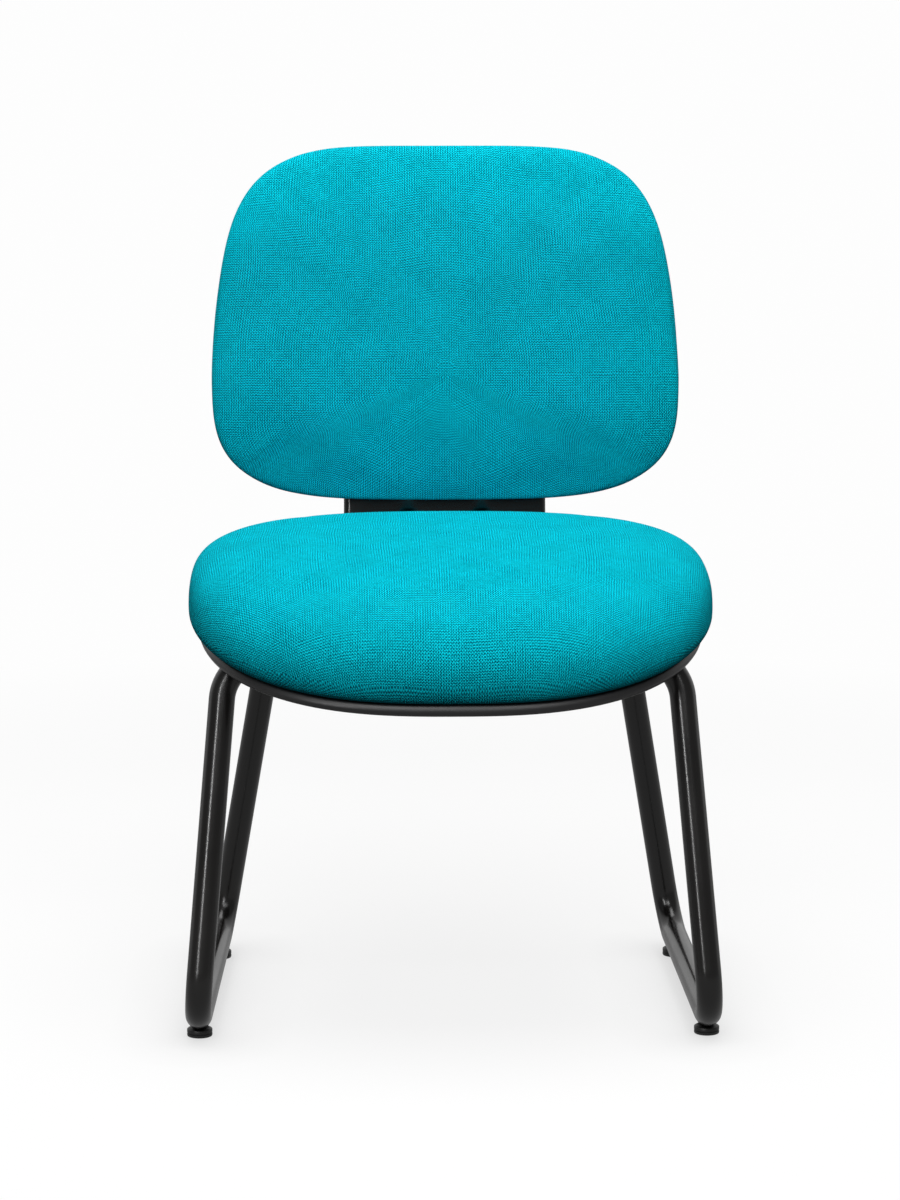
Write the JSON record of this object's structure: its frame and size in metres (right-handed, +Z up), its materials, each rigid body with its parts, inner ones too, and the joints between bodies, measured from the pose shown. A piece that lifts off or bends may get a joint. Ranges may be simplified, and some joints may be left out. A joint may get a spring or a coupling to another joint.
{
  "type": "sled base visitor chair",
  "caption": "Armless visitor chair with a bent tube sled base, an upholstered waterfall seat and a wide upholstered back on a steel upright.",
  "frame": {"origin": "on the floor under the middle of the chair's length, on its left-right symmetry plane", "axes": "+Z up, a sitter faces -Y, and +X is on the right of someone who looks at the front"},
  "size_m": [0.515, 0.5824, 0.8227],
  "materials": {
    "black_powder_coat": "semi-gloss black powder coat on steel",
    "black_plastic": "satin black moulded plastic",
    "teal_fabric": "fine plain weave in teal",
    "cushion_foam": "open-cell polyurethane foam",
    "plywood": "moulded birch plywood",
    "zinc_steel": "zinc plated steel",
    "black_screw": "black oxide steel"
  },
  "bodies": {
    "root": {"back_board": "plywood", "back_bolt_lower_left": "black_screw", "back_bolt_lower_right": "black_screw", "back_bolt_upper_left": "black_screw", "back_bolt_upper_right": "black_screw", "back_cover": "teal_fabric", "back_foam": "cushion_foam", "back_shell": "black_plastic", "back_tee_nut_lower_left": "zinc_steel", "back_tee_nut_lower_right": "zinc_steel", "back_tee_nut_upper_left": "zinc_steel", "back_tee_nut_upper_right": "zinc_steel", "back_upright": "black_powder_coat", "glide_front_left": "black_plastic", "glide_front_right": "black_plastic", "glide_rear_left": "black_plastic", "glide_rear_right": "black_plastic", "half_frame_left": "black_powder_coat", "half_frame_right": "black_powder_coat", "joining_sleeve_front": "zinc_steel", "joining_sleeve_rear": "zinc_steel", "pan_screw_front_left": "black_screw", "pan_screw_front_right": "black_screw", "pan_screw_rear_left": "black_screw", "pan_screw_rear_right": "black_screw", "seat_board": "plywood", "seat_bolt_front_left": "black_screw", "seat_bolt_front_right": "black_screw", "seat_bolt_rear_left": "black_screw", "seat_bolt_rear_right": "black_screw", "seat_cover": "teal_fabric", "seat_foam": "cushion_foam", "seat_pan": "black_plastic", "seat_rail_left": "black_powder_coat", "seat_rail_right": "black_powder_coat", "seat_tee_nut_front_left": "zinc_steel", "seat_tee_nut_front_right": "zinc_steel", "seat_tee_nut_rear_left": "zinc_steel", "seat_tee_nut_rear_right": "zinc_steel", "upright_bolt_front_left": "black_screw", "upright_bolt_front_right": "black_screw", "upright_bolt_rear_left": "black_screw", "upright_bolt_rear_right": "black_screw", "upright_tee_nut_front_left": "zinc_steel", "upright_tee_nut_front_right": "zinc_steel", "upright_tee_nut_rear_left": "zinc_steel", "upright_tee_nut_rear_right": "zinc_steel"}
  },
  "joints": []
}
